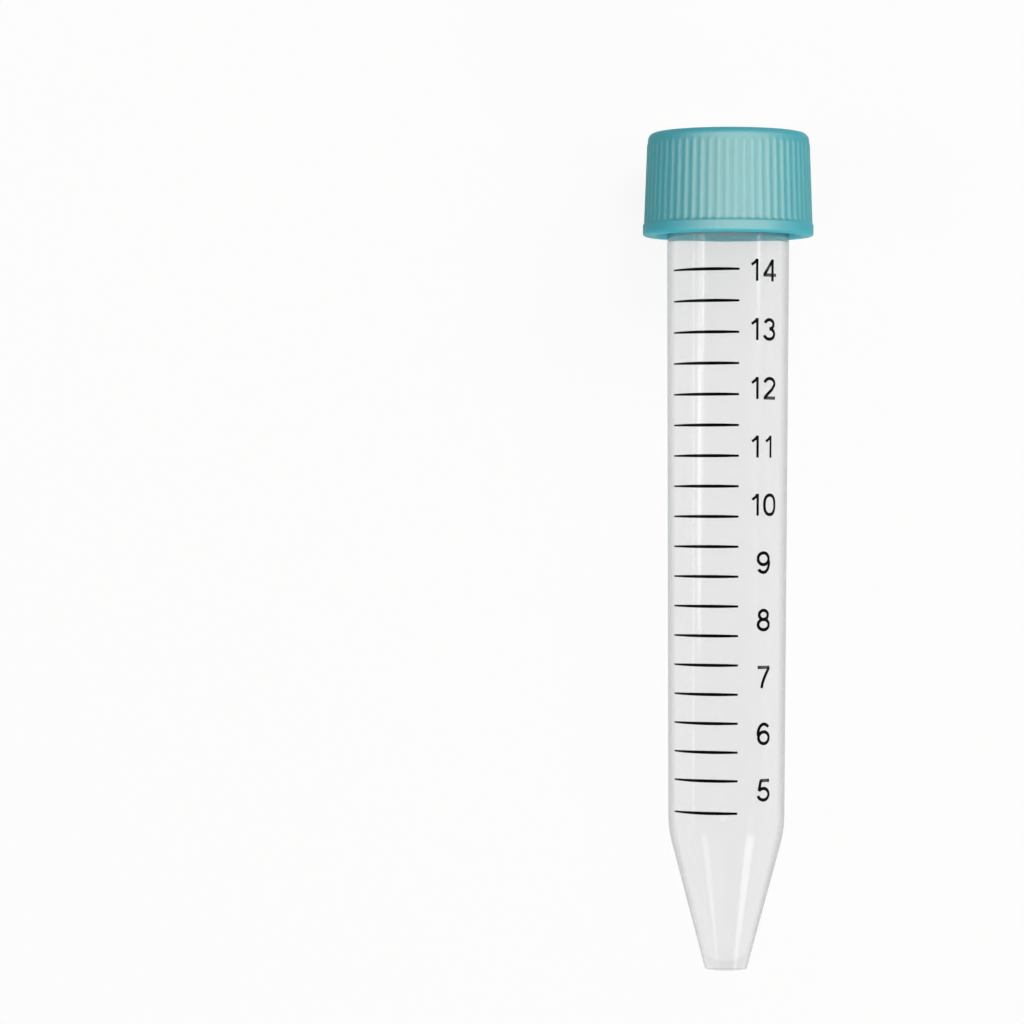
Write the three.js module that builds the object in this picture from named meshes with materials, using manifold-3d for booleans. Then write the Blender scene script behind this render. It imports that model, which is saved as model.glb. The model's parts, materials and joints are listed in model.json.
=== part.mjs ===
// A 15 ml conical tube with its screw cap, closed and lying on its side.
// Millimetres, +Z up. Each piece is made upright: the tube's axis is Z, the end of its tip is at z = 0,
// and its front, where the scale is printed, faces -Y. The closed tube is then laid down on the lip of
// its cap and the shoulder of its cone, with the tip towards -Y and the front upwards.

import * as THREE from "three";
import { mergeVertices } from "three/addons/utils/BufferGeometryUtils.js";
import Module from "manifold-3d";

const wasm = await Module();
wasm.setup();

// ---- Tube: one clear moulding ----
const TUBE_LENGTH = 115.9; // end of the tip to the rim
const TUBE_WALL = 1.0;
const TIP_DIAMETER = 5.95; // outside, across the small flat end
const TIP_FLOOR = 1.3; // thickness of the closed end
const TIP_EDGE_FILLET = 0.2;
const TIP_BOWL_FILLET = 2.0; // inside, where the last drop gathers
const CONE_HALF_ANGLE = 14.9; // degrees
const SHOULDER_DIAMETER = 16.5; // outside, where cone and body would meet in a corner
const SHOULDER_FILLET = 16.0; // blends the cone into the body
const BODY_DRAFT = 0.3; // degrees that the body opens out towards the rim, so that it leaves its mould
const RIM_FILLET = 0.35;

// ---- Thread shared by the neck and the cap: single start, right hand ----
const THREAD_PITCH = 3.0;
const THREAD_HEIGHT = 0.9; // ridge above the wall it stands on
const THREAD_ROOT_WIDTH = 1.5; // along the axis
const THREAD_CREST_WIDTH = 0.7;
const THREAD_RUNOUT = 30; // degrees over which a ridge rises out of its wall
const THREAD_RADIAL_GAP = 0.35; // crest of one ridge to the other piece's wall
const THREAD_FLANK_GAP = 0.35; // along the axis, between the flanks that pull the cap down
const NECK_THREAD_TURNS = 2.25;
const NECK_THREAD_TOP = 1.9; // rim down to the middle of the ridge's upper end
const CAP_THREAD_TURNS = 1.75;
const ENGAGED_TURNS = 2.0; // from tight until the cap lifts off the neck's last ridge

// ---- Cap: one coloured moulding ----
const CAP_HEIGHT = 14.7; // lip to top
const CAP_TOP_THICKNESS = 1.6;
const CAP_WALL = 1.28; // bore to the bottom of the grooves, at the top of the grip
const CAP_TAPER = 2.1; // degrees that the grip widens towards the lip
const CAP_TOP_FILLET = 1.1;
const LIP_HEIGHT = 1.85;
const LIP_PROUD = 0.15; // lip beyond the ribs just above it
const LIP_FILLET = 0.4;
const BORE_CHAMFER = 0.5; // leads the cap onto the neck
const CEILING_FILLET = 0.4;
const RIB_COUNT = 60;
const RIB_HEIGHT = 0.25; // above the grooves
const RIB_SECTION = [0, 1, 1, 0]; // share of the rib's height at even steps round one rib
const RIB_TOP_DROP = 1.2; // top of the cap down to the ends of the ribs
const RIB_RUNOUT = 0.7; // height over which a rib's end rises out of the grip
const CAP_REST_TURN = 2; // degrees from the middle of the scale to the nearest rib, cap tight

// ---- Seal: soft disc between the rim and the cap's ceiling ----
const SEAL_THICKNESS = 1.0;
const SEAL_EDGE_GAP = 0.35; // seal to the cap's bore
const SEAL_EDGE_FILLET = 0.2;
const SEAT_GAP = 0.3; // rim to seal, and seal to ceiling

// ---- Fineness of the facets ----
const ROUND_SEGMENTS = 60;
const THREAD_STEPS = 60; // for each turn
const CHORD_ERROR = 0.02; // of the chords of a fillet
const CAP_CHORD_ERROR = 0.04; // the same outside the cap, where each step goes round every rib
const BURIED = 0.3; // how far a ridge reaches into the wall that it is joined to
const CUTTER_OVERSHOOT = 1;

// ---- Heights and radii that follow ----
const rad = THREE.MathUtils.degToRad;
const coneSlope = Math.tan(rad(CONE_HALF_ANGLE));
const draftSlope = Math.tan(rad(BODY_DRAFT));
const tipRadius = TIP_DIAMETER / 2;
const shoulderRadius = SHOULDER_DIAMETER / 2;
const shoulderHeight = (shoulderRadius - tipRadius) / coneSlope;
const rimRadius = shoulderRadius + draftSlope * (TUBE_LENGTH - shoulderHeight);
const threadCrestRadius = rimRadius + THREAD_HEIGHT;
const boreRadius = threadCrestRadius + THREAD_RADIAL_GAP;
const sealBottom = TUBE_LENGTH + SEAT_GAP;
const ceiling = sealBottom + SEAL_THICKNESS + SEAT_GAP;
const capTop = ceiling + CAP_TOP_THICKNESS;
const lipBottom = capTop - CAP_HEIGHT;
const lipTop = lipBottom + LIP_HEIGHT;
const ribTop = capTop - RIB_TOP_DROP;
const fullRibTop = ribTop - RIB_RUNOUT;
const grooveRadius = (height) => boreRadius + CAP_WALL + Math.tan(rad(CAP_TAPER)) * (capTop - height);
const lipRadius = grooveRadius(lipTop) + RIB_HEIGHT + LIP_PROUD;
const neckThreadTop = TUBE_LENGTH - NECK_THREAD_TOP;

// The cap's ridge lies under the neck's, so that turning the cap tight draws it down onto the seal.
// Both ridges are as wide as this where their flanks face each other, half way up.
const facingWidth = (THREAD_ROOT_WIDTH + THREAD_CREST_WIDTH) / 2;
const ridgeOffset = facingWidth + THREAD_FLANK_GAP;
const capThreadBottom = neckThreadTop - ENGAGED_TURNS * THREAD_PITCH;

// A profile of Vector2(radius, height) from corners [radius, height, fillet]. A corner with a fillet
// becomes an arc tangent to both of its sides.
function profileOf(corners, chordError = CHORD_ERROR) {
  const points = [];
  corners.forEach(([radius, height, fillet = 0], i) => {
    const corner = new THREE.Vector2(radius, height);
    if (fillet === 0) {
      points.push(corner);
      return;
    }
    const back = new THREE.Vector2(...corners[i - 1]).sub(corner).normalize();
    const on = new THREE.Vector2(...corners[i + 1]).sub(corner).normalize();
    const turn = Math.PI - Math.acos(back.dot(on));
    const side = Math.sign(back.cross(on)) || 1;
    const start = back.clone().multiplyScalar(fillet * Math.tan(turn / 2)).add(corner);
    const centre = back.clone().add(on).setLength(fillet / Math.cos(turn / 2)).add(corner);
    const steps = Math.ceil(turn / (2 * Math.acos(1 - chordError / fillet)));
    for (let step = 0; step <= steps; step++) {
      points.push(start.clone().rotateAround(centre, (-side * turn * step) / steps));
    }
  });
  return points;
}

// A closed solid of revolution about Z, from a profile that starts and ends on the axis. Unless start
// says otherwise, it starts half a segment before the front, so that flats face front and back.
function revolve(profile, segments, start = -Math.PI / segments) {
  return new THREE.LatheGeometry(profile, segments, start).rotateX(Math.PI / 2);
}

// The manifold-3d solid of a closed geometry. Only positions count, and equal ones become one vertex.
function toSolid(geometry) {
  const bare = geometry.clone();
  bare.deleteAttribute("normal");
  bare.deleteAttribute("uv");
  const merged = mergeVertices(bare, 1e-4);
  return new wasm.Manifold(
    new wasm.Mesh({
      numProp: 3,
      vertProperties: merged.attributes.position.array,
      triVerts: new Uint32Array(merged.index.array),
    }),
  );
}

function toGeometry(solid) {
  const { vertProperties, triVerts } = solid.getMesh();
  const geometry = new THREE.BufferGeometry();
  geometry.setAttribute("position", new THREE.BufferAttribute(vertProperties, 3));
  geometry.setIndex(new THREE.BufferAttribute(triVerts, 1));
  geometry.computeVertexNormals();
  return geometry;
}

// The radius of the tube's outside at a height on its cone or its body, without the fillets.
const coneRadius = (height) => tipRadius + coneSlope * height;
const bodyRadius = (height) => shoulderRadius + draftSlope * (height - shoulderHeight);

// The tube's section: up the outside from the tip, over the rim and down the inside to the floor.
function tubeProfile() {
  const coneInset = TUBE_WALL / Math.cos(rad(CONE_HALF_ANGLE));
  const bodyInset = TUBE_WALL / Math.cos(rad(BODY_DRAFT));
  const insideShoulder = shoulderHeight + (coneInset - bodyInset) / (coneSlope - draftSlope);
  return profileOf([
    [0, 0],
    [tipRadius, 0, TIP_EDGE_FILLET],
    [shoulderRadius, shoulderHeight, SHOULDER_FILLET],
    [rimRadius, TUBE_LENGTH, RIM_FILLET],
    [rimRadius - bodyInset, TUBE_LENGTH, RIM_FILLET],
    [bodyRadius(insideShoulder) - bodyInset, insideShoulder, SHOULDER_FILLET - TUBE_WALL],
    [coneRadius(TIP_FLOOR) - coneInset, TIP_FLOOR, TIP_BOWL_FILLET],
    [0, TIP_FLOOR],
  ]);
}

// One thread ridge as a closed band along a right-hand helix. It stands on a wall at wallRadius and
// points outwards (side 1) or inwards (side -1), and at both ends it sinks into that wall.
// The middle of its lower end is at bottom; phase is the angle there, from the front.
function threadRidge({ wallRadius, side, bottom, turns, phase }) {
  const total = Math.round(turns * THREAD_STEPS);
  const runoutSteps = (THREAD_RUNOUT / 360) * THREAD_STEPS;
  const corners = 4;
  const positions = [];
  for (let step = 0; step <= total; step++) {
    const along = step / THREAD_STEPS;
    const angle = phase + along * 2 * Math.PI;
    const middle = bottom + along * THREAD_PITCH;
    const fromEnd = Math.min(step, total - step) / runoutSteps;
    const rise = THREE.MathUtils.smoothstep(fromEnd, 0, 1);
    const crestRadius = wallRadius + side * (rise * (THREAD_HEIGHT + BURIED / 2) - BURIED / 2);
    const rootRadius = wallRadius - side * BURIED;
    const section = [
      [rootRadius, middle - (side * THREAD_ROOT_WIDTH) / 2],
      [crestRadius, middle - (side * THREAD_CREST_WIDTH) / 2],
      [crestRadius, middle + (side * THREAD_CREST_WIDTH) / 2],
      [rootRadius, middle + (side * THREAD_ROOT_WIDTH) / 2],
    ];
    for (const [radius, height] of section) {
      positions.push(radius * Math.sin(angle), -radius * Math.cos(angle), height);
    }
  }
  const faces = [0, 1, 2, 0, 2, 3];
  for (let step = 0; step < total; step++) {
    for (let corner = 0; corner < corners; corner++) {
      const here = step * corners + corner;
      const beside = step * corners + ((corner + 1) % corners);
      faces.push(here, here + corners, beside + corners, here, beside + corners, beside);
    }
  }
  const last = total * corners;
  faces.push(last, last + 2, last + 1, last, last + 3, last + 2);
  const ridge = new THREE.BufferGeometry();
  ridge.setAttribute("position", new THREE.Float32BufferAttribute(positions, 3));
  ridge.setIndex(faces);
  return ridge;
}

// The angle of a helix with the thread's pitch, so that ridges of both pieces keep step.
const helixAngle = (height) => ((height - neckThreadTop) / THREAD_PITCH) * 2 * Math.PI;

function makeTube() {
  const bottom = neckThreadTop - NECK_THREAD_TURNS * THREAD_PITCH;
  const shell = toSolid(revolve(tubeProfile(), ROUND_SEGMENTS));
  const ridge = threadRidge({
    wallRadius: rimRadius,
    side: 1,
    bottom,
    turns: NECK_THREAD_TURNS,
    phase: helixAngle(bottom),
  });
  return toGeometry(shell.add(toSolid(ridge)));
}

// The cap's outside, solid: lip, ledge, tapered grip and rounded top edge. The grip is turned to the
// bottom of its grooves, and then its ribs are raised between the ledge and the top edge.
function ribbedBody() {
  const corners = [
    [0, lipBottom],
    [lipRadius, lipBottom, LIP_FILLET],
    [lipRadius, lipTop],
    [grooveRadius(lipTop), lipTop],
    [grooveRadius(fullRibTop), fullRibTop],
    [grooveRadius(ribTop), ribTop],
    [grooveRadius(capTop), capTop, CAP_TOP_FILLET],
    [0, capTop],
  ];
  const profile = profileOf(corners, CAP_CHORD_ERROR);
  const body = revolve(profile, RIB_COUNT * RIB_SECTION.length);
  const position = body.attributes.position;
  const pitch = (2 * Math.PI) / RIB_COUNT;
  for (let i = 0; i < position.count; i++) {
    const x = position.getX(i);
    const y = position.getY(i);
    const height = position.getZ(i);
    const radius = Math.hypot(x, y);
    const onLip = height < lipTop - LIP_FILLET || radius > lipRadius - LIP_PROUD / 2;
    if (onLip || height > ribTop - RIB_RUNOUT / 2) continue;
    const turned = Math.atan2(x, -y) / pitch + RIB_COUNT;
    const place = Math.floor(turned * RIB_SECTION.length) + RIB_SECTION.length / 2;
    const share = RIB_SECTION[place % RIB_SECTION.length];
    const factor = 1 + (RIB_HEIGHT * share) / radius;
    position.setXY(i, x * factor, y * factor);
  }
  return body;
}

// What is taken out of the cap: the bore, from a chamfered mouth to the ceiling.
function capBore() {
  return revolve(
    profileOf([
      [0, lipBottom - CUTTER_OVERSHOOT],
      [boreRadius + BORE_CHAMFER + CUTTER_OVERSHOOT, lipBottom - CUTTER_OVERSHOOT],
      [boreRadius, lipBottom + BORE_CHAMFER],
      [boreRadius, ceiling, CEILING_FILLET],
      [0, ceiling],
    ]),
    ROUND_SEGMENTS,
  );
}

function makeCap() {
  const ridge = threadRidge({
    wallRadius: boreRadius,
    side: -1,
    bottom: capThreadBottom,
    turns: CAP_THREAD_TURNS,
    phase: helixAngle(capThreadBottom + ridgeOffset),
  });
  const body = ribbedBody().rotateZ(rad(CAP_REST_TURN));
  return toGeometry(toSolid(body).subtract(toSolid(capBore())).add(toSolid(ridge)));
}

function makeSeal() {
  const radius = boreRadius - SEAL_EDGE_GAP;
  return revolve(
    profileOf([
      [0, sealBottom],
      [radius, sealBottom, SEAL_EDGE_FILLET],
      [radius, sealBottom + SEAL_THICKNESS, SEAL_EDGE_FILLET],
      [0, sealBottom + SEAL_THICKNESS],
    ]),
    ROUND_SEGMENTS,
  );
}

// The angle of the axis to the ground when the closed tube lies on its cap's lip and its shoulder:
// the flattest line from the lip that clears the whole outside of the tube.
function lyingTilt() {
  const lipContact = lipBottom + LIP_FILLET;
  const acrossFlats = Math.cos(Math.PI / ROUND_SEGMENTS);
  const slopes = tubeProfile()
    .filter((point) => point.y < lipBottom && point.x > tipRadius)
    .map((point) => (lipRadius - point.x * acrossFlats) / (lipContact - point.y));
  return Math.atan(Math.min(...slopes));
}

// ---- The closed tube, lying down ----
const clearPolypropylene = new THREE.MeshStandardMaterial({
  color: "#e4e8e8",
  roughness: 0.2,
  metalness: 0,
  transparent: true,
  opacity: 0.45,
});
const turquoisePolyethylene = new THREE.MeshStandardMaterial({
  color: "#56b0b8",
  roughness: 0.5,
  metalness: 0,
});
const whiteElastomer = new THREE.MeshStandardMaterial({
  color: "#eeeeea",
  roughness: 0.7,
  metalness: 0,
});

function piece(name, geometry, material) {
  const mesh = new THREE.Mesh(geometry, material);
  mesh.name = name;
  return mesh;
}

const tube = piece("tube", makeTube(), clearPolypropylene);
const cap = piece("cap", makeCap(), turquoisePolyethylene);
const seal = piece("seal_liner", makeSeal(), whiteElastomer);

const laid = new THREE.Group();
laid.add(tube, cap, seal);
laid.rotation.x = lyingTilt() - Math.PI / 2;

// The origin is under the middle of the lying tube's box, on the ground.
const box = new THREE.Box3().setFromObject(laid, true);
const middle = box.getCenter(new THREE.Vector3());
laid.position.set(-middle.x, -middle.y, -box.min.z);

const conicalTube = new THREE.Group();
conicalTube.name = "conical_tube_15_ml";
conicalTube.add(laid);

export default conicalTube;
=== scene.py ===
"""Looks for the 15 ml conical tube: clear polypropylene body with its printed scale, turquoise
polyethylene screw cap and the soft seal inside it, lying on a pale bench."""
import json
import math

import bmesh
import bpy
from mathutils import Matrix, Vector


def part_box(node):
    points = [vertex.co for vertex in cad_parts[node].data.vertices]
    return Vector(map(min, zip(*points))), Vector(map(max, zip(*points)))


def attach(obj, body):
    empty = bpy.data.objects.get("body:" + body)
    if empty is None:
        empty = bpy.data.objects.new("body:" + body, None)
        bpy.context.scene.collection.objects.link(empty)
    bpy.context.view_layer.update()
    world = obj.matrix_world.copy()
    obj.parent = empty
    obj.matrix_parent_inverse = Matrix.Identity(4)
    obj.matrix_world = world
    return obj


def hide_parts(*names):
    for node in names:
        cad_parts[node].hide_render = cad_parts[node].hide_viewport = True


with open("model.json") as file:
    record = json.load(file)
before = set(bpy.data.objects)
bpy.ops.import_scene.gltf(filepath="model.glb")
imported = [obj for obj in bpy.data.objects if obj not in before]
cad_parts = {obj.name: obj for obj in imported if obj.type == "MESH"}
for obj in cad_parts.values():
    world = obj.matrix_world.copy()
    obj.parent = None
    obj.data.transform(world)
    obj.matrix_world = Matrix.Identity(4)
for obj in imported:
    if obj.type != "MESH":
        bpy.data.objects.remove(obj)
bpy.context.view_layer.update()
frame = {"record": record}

# ---------------------------------------------------------------- the frame
# Pieces are made upright in millimetres: the tube's axis is Z, the end of the tip is at z = 0 and the
# printed front faces -Y. LAID takes that to where the closed tube lies in the CAD frame, in metres.
MM = 0.001
mounts = {mount["name"]: mount for mount in frame["record"]["mounts"]}
axis = Vector(mounts["cap_top"]["axis"]).normalized()
tip_end = Vector(mounts["tip_end"]["pos_m"])
cap_top = Vector(mounts["cap_top"]["pos_m"])
side = Vector((1, 0, 0))
front = side.cross(axis)
turned = Matrix((side, -front, axis)).transposed().to_4x4()
LAID = Matrix.Translation(tip_end) @ turned @ Matrix.Scale(MM, 4)


def extent_across(node):
    """A node's width across the tube, in millimetres."""
    low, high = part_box(node)
    return (high.x - low.x) / MM


# ---------------------------------------------------------------- sizes, in millimetres
CLOSED_LENGTH = (cap_top - tip_end).length / MM
LIP_RADIUS = extent_across("cap") / 2
SEAL_RADIUS = extent_across("seal_liner") / 2

# Tube
WALL = 1.0
TIP_RADIUS = 2.975
TIP_FLOOR = 1.3
TIP_EDGE_FILLET = 0.2
TIP_BOWL_FILLET = 2.0
CONE_SLOPE = math.tan(math.radians(14.9))
DRAFT_SLOPE = math.tan(math.radians(0.3))
SHOULDER_RADIUS = 8.25
SHOULDER_HEIGHT = (SHOULDER_RADIUS - TIP_RADIUS) / CONE_SLOPE
SHOULDER_FILLET = 16.0
RIM_FILLET = 0.35

# Cap and seal, from the top down
CAP_HEIGHT = 14.7
CAP_TOP_THICKNESS = 1.6
SEAT_GAP = 0.3
SEAL_THICKNESS = 1.0
SEAL_FILLET = 0.2
CEILING = CLOSED_LENGTH - CAP_TOP_THICKNESS
SEAL_BOTTOM = CEILING - SEAT_GAP - SEAL_THICKNESS
RIM_HEIGHT = SEAL_BOTTOM - SEAT_GAP
LIP_BOTTOM = CLOSED_LENGTH - CAP_HEIGHT
LIP_HEIGHT = 1.85
LIP_TOP = LIP_BOTTOM + LIP_HEIGHT
LIP_PROUD = 0.15
LIP_FILLET = 0.4
CAP_TOP_FILLET = 1.1
GATE_RADIUS = 2.1
GATE_STUB = 0.55
GATE_DEPTH = 0.3
RIB_COUNT = 60
RIB_HEIGHT = 0.1
RIB_TURN = math.radians(2)
RIB_TOP = CLOSED_LENGTH - 1.2
GRIP_TAPER = math.tan(math.radians(2.1))
GRIP_BASE_RADIUS = LIP_RADIUS - LIP_PROUD - RIB_HEIGHT
GRIP_TOP_RADIUS = GRIP_BASE_RADIUS - GRIP_TAPER * (CLOSED_LENGTH - LIP_TOP)

# Thread
RIM_RADIUS = SHOULDER_RADIUS + DRAFT_SLOPE * (RIM_HEIGHT - SHOULDER_HEIGHT)
THREAD_PITCH = 3.0
THREAD_HEIGHT = 0.9
THREAD_ROOT = 1.5
THREAD_CREST = 0.7
THREAD_RUNOUT = 30 / 360
NECK_THREAD_TOP = RIM_HEIGHT - 1.9
NECK_THREAD_TURNS = 2.25
CAP_THREAD_TURNS = 1.75
CAP_THREAD_BOTTOM = NECK_THREAD_TOP - 2.0 * THREAD_PITCH
RIDGE_OFFSET = (THREAD_ROOT + THREAD_CREST) / 2 + 0.35
BORE_RADIUS = RIM_RADIUS + THREAD_HEIGHT + 0.35
BORE_CHAMFER = 0.5


# ---------------------------------------------------------------- modelling tools
ARC_STEP = math.radians(8)
TUBE_STEPS = 192
CAP_STEPS = RIB_COUNT * 8
SEAL_STEPS = 120
THREAD_RINGS = 0.15
RIB_RINGS = 0.25


def rounded(corners):
    """Points of an outline from corners (radius, height, fillet), a fillet becoming an arc."""
    points = []
    for i, corner in enumerate(corners):
        here = Vector(corner[:2])
        fillet = corner[2] if len(corner) > 2 else 0
        if not fillet:
            points.append(here)
            continue
        back = (Vector(corners[i - 1][:2]) - here).normalized()
        on = (Vector(corners[i + 1][:2]) - here).normalized()
        turn = math.pi - back.angle(on)
        centre = here + (back + on).normalized() * (fillet / math.cos(turn / 2))
        start = here + back * (fillet * math.tan(turn / 2)) - centre
        sense = 1 if back.cross(on) < 0 else -1
        steps = max(6, math.ceil(turn / ARC_STEP))
        for step in range(steps + 1):
            points.append(centre + Matrix.Rotation(sense * turn * step / steps, 2) @ start)
    return points


def with_rings(points, low, high, spacing):
    """The same outline with more points on its steep stretches between two heights."""
    out = [points[0]]
    for a, b in zip(points, points[1:]):
        first, last = sorted((a.y, b.y))
        count = math.ceil((high - low) / spacing)
        heights = [low + (high - low) * i / count for i in range(count + 1)]
        inside = [h for h in heights if first + spacing / 3 < h < last - spacing / 3]
        if b.y < a.y:
            inside.reverse()
        out += [a.lerp(b, (h - a.y) / (b.y - a.y)) for h in inside] + [b]
    return out


def revolve(points, steps):
    """A bmesh of the outline spun all round Z, with its poles closed and its normals outwards."""
    bm = bmesh.new()
    verts = [bm.verts.new((point.x, 0, point.y)) for point in points]
    edges = [bm.edges.new(pair) for pair in zip(verts, verts[1:])]
    bmesh.ops.spin(bm, geom=verts + edges, cent=(0, 0, 0), axis=(0, 0, 1), dvec=(0, 0, 0),
                   angle=2 * math.pi, steps=steps, use_merge=True)
    bmesh.ops.remove_doubles(bm, verts=bm.verts, dist=1e-4)
    bmesh.ops.recalc_face_normals(bm, faces=bm.faces)
    return bm


def finished(name, bm, material, body, replaced=None, smooth=True):
    """Lays a bmesh piece down in the frame and makes it ride on its body."""
    bm.transform(LAID)
    mesh = bpy.data.meshes.new(name)
    bm.to_mesh(mesh)
    bm.free()
    mesh.materials.append(material)
    if smooth:
        mesh.shade_smooth()
    piece = bpy.data.objects.new(name, mesh)
    bpy.context.scene.collection.objects.link(piece)
    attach(piece, body)
    if replaced:
        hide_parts(replaced)
    return piece


def from_front(x, y):
    """The angle round the axis from the printed front, anticlockwise seen from the cap."""
    return math.atan2(x, -y)


def smooth_step(value):
    value = min(1.0, max(0.0, value))
    return value * value * (3 - 2 * value)


def ridge_height(angle, height, bottom, turns, offset):
    """Height of a thread ridge at a place on its wall. offset lowers the whole helix."""
    turn = angle / (2 * math.pi)
    along = (height + offset - NECK_THREAD_TOP) / THREAD_PITCH - turn
    from_middle = (along - round(along)) * THREAD_PITCH
    middle = height - from_middle
    travelled = (middle - bottom) / THREAD_PITCH
    end = min(travelled, turns - travelled)
    flank = (THREAD_ROOT / 2 - abs(from_middle)) / ((THREAD_ROOT - THREAD_CREST) / 2)
    return THREAD_HEIGHT * smooth_step(flank) * smooth_step(end / THREAD_RUNOUT)


def cut_thread(bm, wall_radius, direction, bottom, turns, offset=0.0):
    """Raises the ridge out of a cylindrical wall, outwards (1) or inwards (-1)."""
    low, high = bottom - THREAD_PITCH, bottom + (turns + 1) * THREAD_PITCH
    for vert in bm.verts:
        radius = math.hypot(vert.co.x, vert.co.y)
        if low < vert.co.z < high and abs(radius - wall_radius) < WALL / 4:
            angle = from_front(vert.co.x, vert.co.y)
            rise = ridge_height(angle, vert.co.z, bottom, turns, offset)
            scale = 1 + direction * rise / radius
            vert.co.x *= scale
            vert.co.y *= scale


# ---------------------------------------------------------------- materials
def linear(hex_colour, alpha=1.0):
    """An sRGB hex colour as the linear colour that shaders take."""
    values = [int(hex_colour[i:i + 2], 16) / 255 for i in (1, 3, 5)]
    return [v / 12.92 if v <= 0.04045 else ((v + 0.055) / 1.055) ** 2.4 for v in values] + [alpha]


def new_material(name):
    material = bpy.data.materials.new(name)
    material.use_nodes = True
    tree = material.node_tree
    tree.nodes.clear()
    return material, tree


def add(tree, kind, links=None, **settings):
    """Adds a node. Settings name its properties or its input sockets; links feed its sockets, by name
    or by number."""
    node = tree.nodes.new(kind)
    for key, value in settings.items():
        if hasattr(node, key):
            setattr(node, key, value)
        else:
            node.inputs[key.replace("_", " ")].default_value = value
    for socket, source in (links or {}).items():
        tree.links.new(source, node.inputs[socket])
    return node


# Polypropylene's own index is 1.5. The body has a lower one, so that the inner wall and the tip's bowl
# don't stand out as bright rings, and the outside gets the real one back as a coat.
BODY_IOR = 1.15
SKIN_IOR = 1.5


def clear_polypropylene():
    """Injection-moulded clear polypropylene: smooth and faintly hazy, a little grey where the wall is
    seen along its thickness. Its darker outline is painted shade: where the outer skin turns edge-on to the
    camera it gives way to a grey see-through tint. Light passes it on its way to the bench, so its shadow
    is pale."""
    material, tree = new_material("clear_polypropylene")
    outside = add(tree, "ShaderNodeAttribute", attribute_name="outside")
    skin = add(tree, "ShaderNodeBsdfPrincipled", {"Coat Weight": outside.outputs["Fac"]},
               Base_Color=linear("#F9F9F9"), Roughness=0.06, IOR=BODY_IOR, Transmission_Weight=0.95,
               Coat_Roughness=0.14, Coat_IOR=SKIN_IOR)
    # Painted shade at the outline: the more edge-on the surface, the more the grey see-through tint #E4E6E7
    # replaces the plastic; on the inner wall that tint is white.
    slant = add(tree, "ShaderNodeLayerWeight", Blend=0.5)
    outer = add(tree, "ShaderNodeMapRange", {0: slant.outputs["Facing"]}, interpolation_type="SMOOTHSTEP",
                From_Min=0.46, From_Max=1.0)
    inner = add(tree, "ShaderNodeMapRange", {0: slant.outputs["Facing"]}, interpolation_type="SMOOTHSTEP",
                From_Min=0.2, From_Max=0.48)
    rim = add(tree, "ShaderNodeMix", {0: outside.outputs["Fac"], 2: inner.outputs[0], 3: outer.outputs[0]})
    shade = add(tree, "ShaderNodeMix", {0: outside.outputs["Fac"]}, data_type="RGBA")
    shade.inputs[6].default_value = linear("#FFFFFF")
    shade.inputs[7].default_value = linear("#E4E6E7")
    line = add(tree, "ShaderNodeBsdfTransparent", {"Color": shade.outputs[2]})
    lined = add(tree, "ShaderNodeMixShader", {0: rim.outputs[0], 1: skin.outputs[0], 2: line.outputs[0]})
    passed = add(tree, "ShaderNodeBsdfTransparent", Color=linear("#F7F8F8"))
    path = add(tree, "ShaderNodeLightPath")
    both = add(tree, "ShaderNodeMixShader", {0: path.outputs["Is Shadow Ray"], 1: lined.outputs[0],
                                             2: passed.outputs[0]})
    body = add(tree, "ShaderNodeVolumeAbsorption", Color=linear("#B8BCBA"), Density=70.0)
    add(tree, "ShaderNodeOutputMaterial", {"Surface": both.outputs[0], "Volume": body.outputs[0]})
    return material


# Sizes and depths of surface patterns, in millimetres. The mould's real grain is about 0.1 across, too fine
# to show, so it is drawn coarser.
MOULD_GRAIN = 0.4
GRAIN_DEPTH = 0.04
# Size of the patches in which the painted sheen on the rib crests is paler.
SHEEN_PATCH = 1.1
FOAM_CELL = 0.35
FOAM_PIT = 0.05


def turquoise_polyethylene():
    """Injection-moulded polyethylene, coloured through and slightly translucent: satin, with the fine
    grain of its mould, and a painted sheen on the ribs: their crests are paled in patches."""
    material, tree = new_material("turquoise_polyethylene")
    place = add(tree, "ShaderNodeTexCoord")
    grain = add(tree, "ShaderNodeTexNoise", {"Vector": place.outputs["Object"]}, Detail=3.0,
                Scale=1 / (MOULD_GRAIN * MM))
    relief = add(tree, "ShaderNodeBump", {"Height": grain.outputs[0]}, Strength=0.25,
                 Distance=GRAIN_DEPTH * MM)
    cloud = add(tree, "ShaderNodeTexNoise", {"Vector": place.outputs["Object"]}, Detail=4.0,
                Scale=1 / (SHEEN_PATCH * MM))
    sheen_mask = add(tree, "ShaderNodeAttribute", attribute_name="rib_sheen")
    blotch = add(tree, "ShaderNodeMapRange", {0: cloud.outputs[0]}, To_Min=0.4, To_Max=1.0)
    sheen_share = add(tree, "ShaderNodeMath", {0: sheen_mask.outputs["Fac"], 1: blotch.outputs[0]},
                operation="MULTIPLY")
    # Painted sheen: the paler #62B8C1 is laid on the rib crests, by how far each crest stands out, in
    # patches.
    colour = add(tree, "ShaderNodeMix", {0: sheen_share.outputs[0]}, data_type="RGBA")
    colour.inputs[6].default_value = linear("#39AFBD")
    colour.inputs[7].default_value = linear("#62B8C1")
    skin = add(tree, "ShaderNodeBsdfPrincipled",
               {"Normal": relief.outputs[0], "Base Color": colour.outputs[2]}, Roughness=0.55, IOR=1.51,
               Specular_IOR_Level=0.15, Subsurface_Weight=1.0, Subsurface_Radius=(1.0, 2.6, 3.0),
               Subsurface_Scale=MM)
    add(tree, "ShaderNodeOutputMaterial", {"Surface": skin.outputs[0]})
    return material


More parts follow.
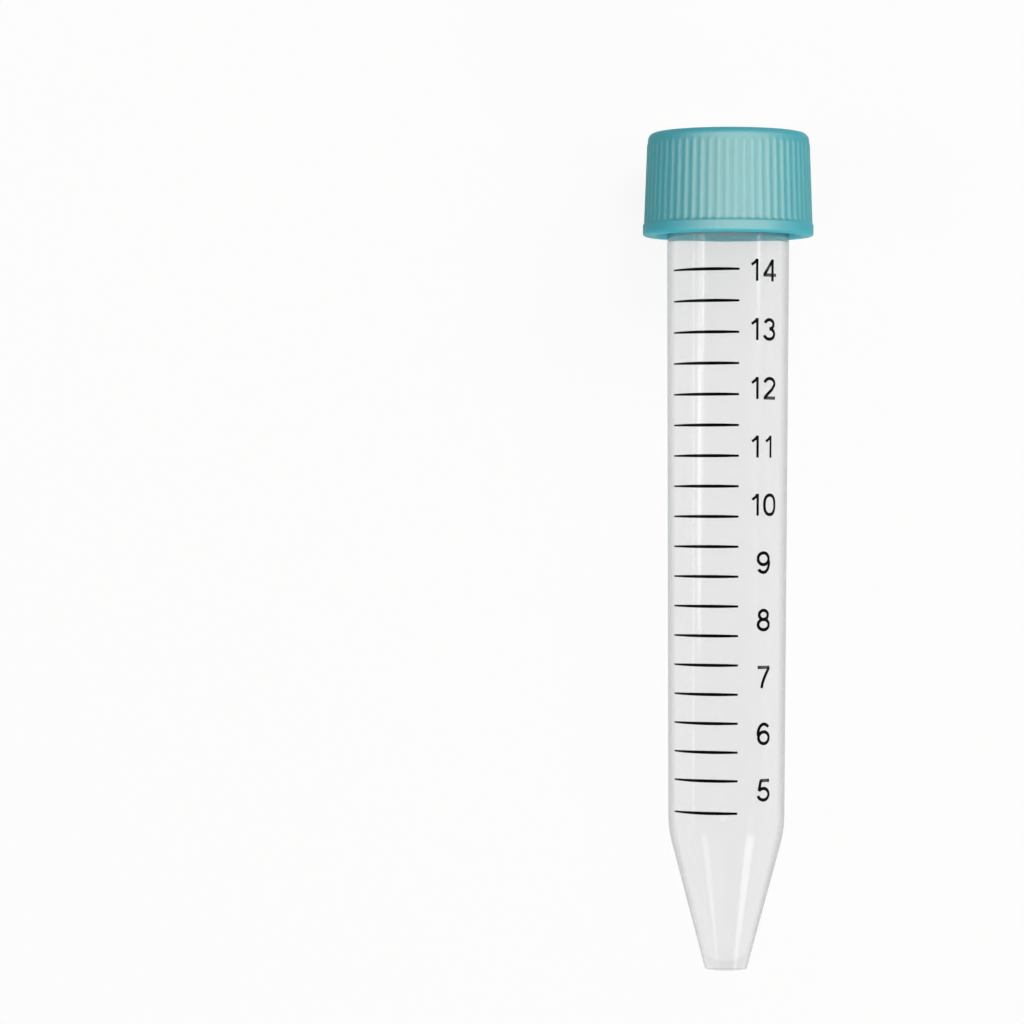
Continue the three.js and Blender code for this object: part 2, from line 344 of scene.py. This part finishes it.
def white_elastomer():
    """Soft closed-cell sealing disc: matt, off-white, with a very fine pitted skin."""
    material, tree = new_material("white_elastomer")
    place = add(tree, "ShaderNodeTexCoord")
    cells = add(tree, "ShaderNodeTexNoise", {"Vector": place.outputs["Object"]}, Detail=4.0,
                Scale=1 / (FOAM_CELL * MM))
    relief = add(tree, "ShaderNodeBump", {"Height": cells.outputs[0]}, Strength=0.3,
                 Distance=FOAM_PIT * MM)
    skin = add(tree, "ShaderNodeBsdfPrincipled", {"Normal": relief.outputs[0]},
               Base_Color=linear("#EEEEEA"), Roughness=0.75)
    add(tree, "ShaderNodeOutputMaterial", {"Surface": skin.outputs[0]})
    return material


def black_ink():
    """Printing ink cured on the tube: black with a slight gloss."""
    material, tree = new_material("black_ink")
    skin = add(tree, "ShaderNodeBsdfPrincipled", Base_Color=linear("#040303"), Roughness=0.08,
               Specular_IOR_Level=0.06)
    add(tree, "ShaderNodeOutputMaterial", {"Surface": skin.outputs[0]})
    return material


# ---------------------------------------------------------------- the tube
def cone_radius(height):
    return TIP_RADIUS + CONE_SLOPE * height


def body_radius(height):
    return SHOULDER_RADIUS + DRAFT_SLOPE * (height - SHOULDER_HEIGHT)


def tube_outline():
    """Up the outside from the tip, over the rim and down the inside to the floor."""
    cone_inset = WALL * math.sqrt(1 + CONE_SLOPE ** 2)
    inner_shoulder = SHOULDER_HEIGHT + (cone_inset - WALL) / (CONE_SLOPE - DRAFT_SLOPE)
    return rounded([
        (0, 0),
        (TIP_RADIUS, 0, TIP_EDGE_FILLET),
        (SHOULDER_RADIUS, SHOULDER_HEIGHT, SHOULDER_FILLET),
        (RIM_RADIUS, RIM_HEIGHT, RIM_FILLET),
        (RIM_RADIUS - WALL, RIM_HEIGHT, RIM_FILLET),
        (body_radius(inner_shoulder) - WALL, inner_shoulder, SHOULDER_FILLET - WALL),
        (cone_radius(TIP_FLOOR) - cone_inset, TIP_FLOOR, TIP_BOWL_FILLET),
        (0, TIP_FLOOR),
    ])


def clear_tube():
    thread_bottom = NECK_THREAD_TOP - NECK_THREAD_TURNS * THREAD_PITCH
    outline = with_rings(tube_outline(), thread_bottom - THREAD_ROOT, NECK_THREAD_TOP + THREAD_ROOT,
                         THREAD_RINGS)
    bm = revolve(outline, TUBE_STEPS)
    outside = bm.verts.layers.float.new("outside")
    for vert in bm.verts:
        skin = min(cone_radius(vert.co.z), body_radius(vert.co.z))
        on_skin = math.hypot(vert.co.x, vert.co.y) > skin - WALL / 2
        vert[outside] = 1.0 if on_skin or vert.co.z < TIP_FLOOR / 2 else 0.0
    cut_thread(bm, RIM_RADIUS, 1, thread_bottom, NECK_THREAD_TURNS)
    return finished("clear_tube", bm, clear_polypropylene(), "tube", "tube")


# ---------------------------------------------------------------- the cap
# A rib's half width and flank are shares of the spacing between ribs.
RIB_HALF_WIDTH = 0.33
RIB_FLANK = 0.2
RIB_RUNOUT = 0.7
RIB_POINT = 0.4


def rib_share(angle, height):
    """Share of the rib's height at a place on the grip: an upright bar with rounded shoulders, its top
    running out to a point."""
    place = (angle - RIB_TURN) / (2 * math.pi) * RIB_COUNT
    from_middle = abs(place - round(place))
    from_top = (RIB_TOP - height) / RIB_RUNOUT
    half_width = RIB_HALF_WIDTH * min(1.0, RIB_POINT + (1 - RIB_POINT) * from_top)
    return smooth_step(from_top) * smooth_step((half_width - from_middle) / RIB_FLANK)


def cap_outline():
    """The closed section of the cap: outside from the moulding gate in the middle of its top, round the
    lip and up the bore."""
    return rounded([
        (0, CLOSED_LENGTH - GATE_DEPTH / 2),
        (GATE_STUB, CLOSED_LENGTH - GATE_DEPTH / 2, 0.08),
        (GATE_STUB + 0.15, CLOSED_LENGTH - GATE_DEPTH, 0.05),
        (GATE_RADIUS - 0.3, CLOSED_LENGTH - GATE_DEPTH, 0.15),
        (GATE_RADIUS, CLOSED_LENGTH, 0.2),
        (GRIP_TOP_RADIUS, CLOSED_LENGTH, CAP_TOP_FILLET),
        (GRIP_BASE_RADIUS, LIP_TOP + 0.1, 0.15),
        (LIP_RADIUS, LIP_TOP - 0.3, 0.15),
        (LIP_RADIUS, LIP_BOTTOM, LIP_FILLET),
        (BORE_RADIUS + BORE_CHAMFER, LIP_BOTTOM, 0.15),
        (BORE_RADIUS, LIP_BOTTOM + BORE_CHAMFER, 0.15),
        (BORE_RADIUS, CEILING, 0.4),
        (0, CEILING),
    ])


def ribbed_cap():
    bm = revolve(with_rings(cap_outline(), LIP_TOP - 0.4, CLOSED_LENGTH, RIB_RINGS), CAP_STEPS)
    cut_thread(bm, BORE_RADIUS, -1, CAP_THREAD_BOTTOM, CAP_THREAD_TURNS, RIDGE_OFFSET)
    # Each rib crest gets its share of painted sheen, by how far it stands out; the cap's material pales it.
    rib_sheen = bm.verts.layers.float.new("rib_sheen")
    for vert in bm.verts:
        radius = math.hypot(vert.co.x, vert.co.y)
        grip = GRIP_BASE_RADIUS - GRIP_TAPER * (vert.co.z - LIP_TOP)
        if radius < grip - RIB_HEIGHT or not LIP_TOP - LIP_HEIGHT / 2 < vert.co.z < RIB_TOP:
            continue
        share = rib_share(from_front(vert.co.x, vert.co.y), vert.co.z)
        crest = grip + RIB_HEIGHT * share
        if crest > radius:
            vert[rib_sheen] = share
            vert.co.x *= crest / radius
            vert.co.y *= crest / radius
    return finished("ribbed_cap", bm, turquoise_polyethylene(), "cap", "cap")


def seal_disc():
    bm = revolve(rounded([
        (0, SEAL_BOTTOM),
        (SEAL_RADIUS, SEAL_BOTTOM, SEAL_FILLET),
        (SEAL_RADIUS, SEAL_BOTTOM + SEAL_THICKNESS, SEAL_FILLET),
        (0, SEAL_BOTTOM + SEAL_THICKNESS),
    ]), SEAL_STEPS)
    return finished("seal_disc", bm, white_elastomer(), "seal", "seal_liner")


# ---------------------------------------------------------------- the printed scale
INK_LIFT = 0.02
INK_THICKNESS = 0.012
PEN_PRESS = 4
STROKE_COUNT = 19
STROKE_TOP = 99.3
STROKE_STEP = 4.458
STROKE_CLOSING = 0.0128
LOWEST_STROKE_DROP = 0.55
STROKE_FROM = math.radians(-65)
STROKE_TO = math.radians(7.9)
STROKE_START_WIDTH = 0.23
STROKE_SWELL = 0.22
STROKE_NARROWING = 0.15
STROKE_WIDEST_AT = 0.65
STROKE_POINTS = 41
NUMBERS = range(14, 4, -1)
NUMBER_TOP = 99.2
NUMBER_STEP = 8.364
NUMBER_CLOSING = 0.024
NUMBER_HEIGHT = 3.1
NUMBER_PEN = 0.152
THIN_PEN = 0.125
DIGIT_ADVANCE = 0.72
DIGIT_WIDTH = 1.18
NUMBER_ANGLE = math.radians(31.4)
NUMBER_LEAN = math.radians(0.48)


def arc(x, y, wide, tall, start, end, squareness=1.0):
    """Points of an elliptic arc, its angles in degrees from the right, anticlockwise."""
    points = []
    for step in range(33):
        angle = math.radians(start + (end - start) * step / 32)
        cos, sin = math.cos(angle), math.sin(angle)
        points.append((x + wide * math.copysign(abs(cos) ** squareness, cos),
                       y + tall * math.copysign(abs(sin) ** squareness, sin)))
    return points


def half_turned(strokes, x, y):
    """The same strokes turned upside down round a point."""
    return [[(2 * x - px, 2 * y - py) for px, py in stroke] for stroke in strokes]


SIX = [arc(0.33, 0.73, 0.235, 0.2125, 20, 90) + arc(0.33, 0.5, 0.265, 0.4425, 90, 190),
       arc(0.335, 0.325, 0.25, 0.2675, 0, 360)]
DIGITS = {
    "0": [arc(0.33, 0.5, 0.265, 0.4425, 0, 360, 0.85)],
    "1": [[(0.37, 0), (0.37, 1)], [(0.37, 0.98), (0.27, 0.84), (0.14, 0.73)]],
    "2": [arc(0.33, 0.715, 0.25, 0.2275, 170, -20) + [(0.44, 0.44), (0.2, 0.21), (0.09, 0.06)],
          [(0.04, 0.0575), (0.62, 0.0575)]],
    "3": [arc(0.31, 0.735, 0.215, 0.2075, 165, -90), arc(0.31, 0.295, 0.255, 0.2375, 90, -165)],
    "4": [[(0.47, 0), (0.47, 1)], [(0.46, 0.94), (0.07, 0.28)], [(0.03, 0.285), (0.66, 0.285)]],
    "5": [[(0.16, 0.9425), (0.61, 0.9425)], [(0.19, 0.96), (0.1, 0.47)],
          arc(0.315, 0.32, 0.265, 0.2625, 145, -165)],
    "6": SIX,
    "7": [[(0.05, 0.9425), (0.62, 0.9425)],
          [(0.24 + 0.36 * (t / 12) ** 1.6, 0.93 * t / 12) for t in range(13)]],
    "8": [arc(0.33, 0.735, 0.205, 0.2075, 0, 360), arc(0.33, 0.2925, 0.255, 0.235, 0, 360)],
    "9": half_turned(SIX, 0.33, 0.5),
}


def pen_strokes(name, strokes):
    """Flat pen strokes on one curve. Each stroke is its points and the pen's width at each of them."""
    curve = bpy.data.curves.new(name, "CURVE")
    curve.dimensions = "3D"
    curve.bevel_depth = 0.5
    curve.bevel_resolution = 1
    curve.use_fill_caps = True
    for points, widths in strokes:
        spline = curve.splines.new("POLY")
        spline.points.add(len(points) - 1)
        for knot, (x, y), width in zip(spline.points, points, widths):
            knot.co = (x, y, 0, 1)
            knot.radius = width
    return curve


def printed(name, strokes):
    """Lays pen strokes, (millimetres round the front, millimetres up the tube), on the tube as ink. The
    pen's round section is pressed flat to the ink's thickness."""
    curve = pen_strokes(name, strokes)
    holder = bpy.data.objects.new(name, curve)
    bpy.context.scene.collection.objects.link(holder)
    mesh = bpy.data.meshes.new_from_object(holder.evaluated_get(bpy.context.evaluated_depsgraph_get()))
    bpy.data.objects.remove(holder)
    bpy.data.curves.remove(curve)
    bm = bmesh.new()
    bm.from_mesh(mesh)
    bpy.data.meshes.remove(mesh)
    bmesh.ops.remove_doubles(bm, verts=bm.verts, dist=1e-4)
    bmesh.ops.recalc_face_normals(bm, faces=bm.faces)
    for vert in bm.verts:
        around, up, off = vert.co
        skin = body_radius(up)
        depth = max(-0.5, min(0.5, off * PEN_PRESS))
        radius = skin + INK_LIFT + INK_THICKNESS * depth
        angle = around / SHOULDER_RADIUS
        vert.co = (radius * math.sin(angle), -radius * math.cos(angle), up)
    return finished(name, bm, black_ink(), "tube")


def scale_strokes():
    """Strokes that start thin, swell and end blunt, as a screen lays them."""
    strokes = []
    for i in range(STROKE_COUNT):
        height = STROKE_TOP - STROKE_STEP * i + STROKE_CLOSING * i * i
        if i == STROKE_COUNT - 1:
            height -= LOWEST_STROKE_DROP
        points, widths = [], []
        for step in range(STROKE_POINTS):
            share = step / (STROKE_POINTS - 1)
            points.append((SHOULDER_RADIUS * (STROKE_FROM + (STROKE_TO - STROKE_FROM) * share), height))
            swelling = math.sin(min(1.0, share / STROKE_WIDEST_AT) * math.pi / 2)
            narrowing = max(0.0, (share - STROKE_WIDEST_AT) / (1 - STROKE_WIDEST_AT)) ** 2
            widths.append(STROKE_START_WIDTH + STROKE_SWELL * swelling - STROKE_NARROWING * narrowing)
        strokes.append((points, widths))
    return printed("scale_strokes", strokes)


def scale_numbers():
    strokes = []
    for i, number in enumerate(NUMBERS):
        text = str(number)
        middle = SHOULDER_RADIUS * (NUMBER_ANGLE + NUMBER_LEAN * i)
        left = middle - NUMBER_HEIGHT * (DIGIT_ADVANCE * len(text)) / 2
        bottom = NUMBER_TOP - NUMBER_STEP * i + NUMBER_CLOSING * i * i - NUMBER_HEIGHT / 2
        for j, digit in enumerate(text):
            pen = NUMBER_HEIGHT * (THIN_PEN if digit == "1" else NUMBER_PEN)
            for stroke in DIGITS[digit]:
                points = [(left + NUMBER_HEIGHT * (x * DIGIT_WIDTH + j * DIGIT_ADVANCE),
                           bottom + NUMBER_HEIGHT * y) for x, y in stroke]
                strokes.append((points, [pen] * len(points)))
    return printed("scale_numbers", strokes)


# ---------------------------------------------------------------- camera, floor and lights
CAMERA_DISTANCE = 600.0
CAMERA_SIDE = -30.7
CAMERA_HEIGHT = 65.0
CAMERA_ROLL = math.radians(0.18)
LENS = 147.9
SENSOR = 36.0
BENCH_HALF_WIDTH = 2000.0


def camera():
    data = bpy.data.cameras.new("camera")
    data.lens = LENS
    data.sensor_width = SENSOR
    holder = bpy.data.objects.new("camera", data)
    bpy.context.scene.collection.objects.link(holder)
    place = LAID @ Vector((CAMERA_SIDE, -CAMERA_DISTANCE, CAMERA_HEIGHT))
    facing = Matrix((side, axis, front)).transposed().to_4x4() @ Matrix.Rotation(CAMERA_ROLL, 4, "Z")
    holder.matrix_world = Matrix.Translation(place) @ facing
    bpy.context.scene.camera = holder


def shown_rays(tree):
    """1 on the rays that show the background: from the camera, mirrored or through clear plastic."""
    path = add(tree, "ShaderNodeLightPath").outputs
    seen = add(tree, "ShaderNodeMath", {0: path["Is Camera Ray"], 1: path["Is Glossy Ray"]},
               operation="MAXIMUM")
    through = add(tree, "ShaderNodeMath", {0: seen.outputs[0], 1: path["Is Transmission Ray"]},
                  operation="MAXIMUM")
    return through.outputs[0]


def pale_bench():
    """Pale floor: much of its brightness is its own, so that the shadows on it stay soft and light."""
    material, tree = new_material("pale_bench")
    lit = add(tree, "ShaderNodeBsdfDiffuse", Color=linear("#666666"))
    glow = add(tree, "ShaderNodeEmission", {"Strength": shown_rays(tree)}, Color=linear("#F1F1F1"))
    both = add(tree, "ShaderNodeAddShader", {0: lit.outputs[0], 1: glow.outputs[0]})
    add(tree, "ShaderNodeOutputMaterial", {"Surface": both.outputs[0]})
    bm = bmesh.new()
    bmesh.ops.create_grid(bm, x_segments=1, y_segments=1, size=BENCH_HALF_WIDTH * MM)
    mesh = bpy.data.meshes.new("bench")
    bm.to_mesh(mesh)
    bm.free()
    mesh.materials.append(material)
    bench = bpy.data.objects.new("bench", mesh)
    bpy.context.scene.collection.objects.link(bench)


def softbox(name, turn, rise, width, length, radiance, height=65.0, distance=600.0, colour="#FFFFFF"):
    """A soft rectangular lamp aimed at the tube's axis at a height. Its direction is turned to the
    right of the front and then raised towards the cap, in degrees; its long side lies along the tube."""
    turn, rise = math.radians(turn), math.radians(rise)
    out = (side * math.sin(turn) + front * math.cos(turn)) * math.cos(rise) + axis * math.sin(rise)
    across = axis.cross(out).normalized()
    data = bpy.data.lights.new(name, "AREA")
    data.shape = "RECTANGLE"
    data.size = width * MM
    data.size_y = length * MM
    data.energy = radiance * math.pi * data.size * data.size_y
    data.color = linear(colour)[:3]
    holder = bpy.data.objects.new(name, data)
    bpy.context.scene.collection.objects.link(holder)
    holder.visible_camera = holder.visible_transmission = False
    facing = Matrix((across, out.cross(across), out)).transposed().to_4x4()
    holder.matrix_world = Matrix.Translation(LAID @ Vector((0, 0, height)) + out * distance * MM) @ facing
    return holder


def flagged(lamp, piece):
    """Flags round this lamp keep its light on one piece only, and nothing stands between them."""
    lit = bpy.data.collections.new(lamp.name)
    lit.objects.link(piece)
    lamp.light_linking.receiver_collection = lit
    lamp.light_linking.blocker_collection = lit


def cap_lights(cap):
    """Lamps that light the cap only: one under its lip, and three that only its gloss shows."""
    low_fill = softbox("cap_low_fill", 0, -60, 640, 480, 3.5, height=100, distance=960)
    low_fill.visible_glossy = False
    flagged(low_fill, cap)
    for name, turn, width, radiance in (("cap_gloss", 8, 1300, 42.0), ("cap_gloss_left", -48, 480, 10.0),
                                        ("cap_gloss_right", 60, 480, 10.0)):
        gloss = softbox(name, turn, 8, width, 480, radiance, height=112, colour="#FFE6C8")
        gloss.visible_diffuse = False
        flagged(gloss, cap)


AMBIENT = 0.42
DIM_CEILING = 0.6


def studio():
    """White round the horizon, where it is seen, and dim overhead, where gloss would mirror it."""
    world = bpy.data.worlds.new("studio")
    world.use_nodes = True
    tree = world.node_tree
    tree.nodes.clear()
    direction = add(tree, "ShaderNodeTexCoord")
    parts = add(tree, "ShaderNodeSeparateXYZ", {0: direction.outputs["Generated"]})
    wall = add(tree, "ShaderNodeMapRange", {0: parts.outputs["Z"]}, interpolation_type="SMOOTHSTEP",
               From_Min=math.sin(math.radians(10)), From_Max=math.sin(math.radians(30)), To_Min=1.0,
               To_Max=DIM_CEILING)
    strength = add(tree, "ShaderNodeMix", {0: shown_rays(tree), 3: wall.outputs[0]})
    strength.inputs[2].default_value = AMBIENT
    sky = add(tree, "ShaderNodeBackground", {"Strength": strength.outputs[0]}, Color=(1, 1, 1, 1))
    add(tree, "ShaderNodeOutputWorld", {"Surface": sky.outputs[0]})
    bpy.context.scene.world = world


def tube_lights():
    """One key lamp, and narrow ones at the sides that draw the highlights down the tube and the cone."""
    softbox("key", 34, 32, 1000, 460, 2.8, height=110, distance=1000, colour="#FFF9F2")
    softbox("left_window", -55, 0, 130, 130, 1.5, height=125)
    softbox("left_line", -50, 0, 34, 90, 4.8, height=146)
    softbox("left_middle", -58, 0, 80, 90, 3.6, height=60)
    softbox("left_edge", -71, 0, 24, 260, 3.5, height=60)
    softbox("right_strip", 57, 0, 76, 60, 4.6, height=146)
    softbox("cone_right", 50, -30, 190, 200, 2.2, height=30)
    softbox("cone_right_core", 50, -30, 80, 150, 4.4, height=30)
    softbox("cone_left", -50, -30, 120, 200, 1.7, height=30)


def render_settings():
    """Plain colours, and enough bounces for light to get through both walls of the tube and the cap."""
    bpy.context.scene.view_settings.view_transform = "Standard"
    bpy.context.scene.cycles.max_bounces = 20
    bpy.context.scene.cycles.glossy_bounces = 16
    bpy.context.scene.cycles.transmission_bounces = 20


camera()
pale_bench()
studio()
tube_lights()
render_settings()
clear_tube()
cap_lights(ribbed_cap())
seal_disc()
scale_strokes()
scale_numbers()


def corners(box):
    """The two corners of a box as plain numbers."""
    return [[float(v) for v in corner] for corner in box]
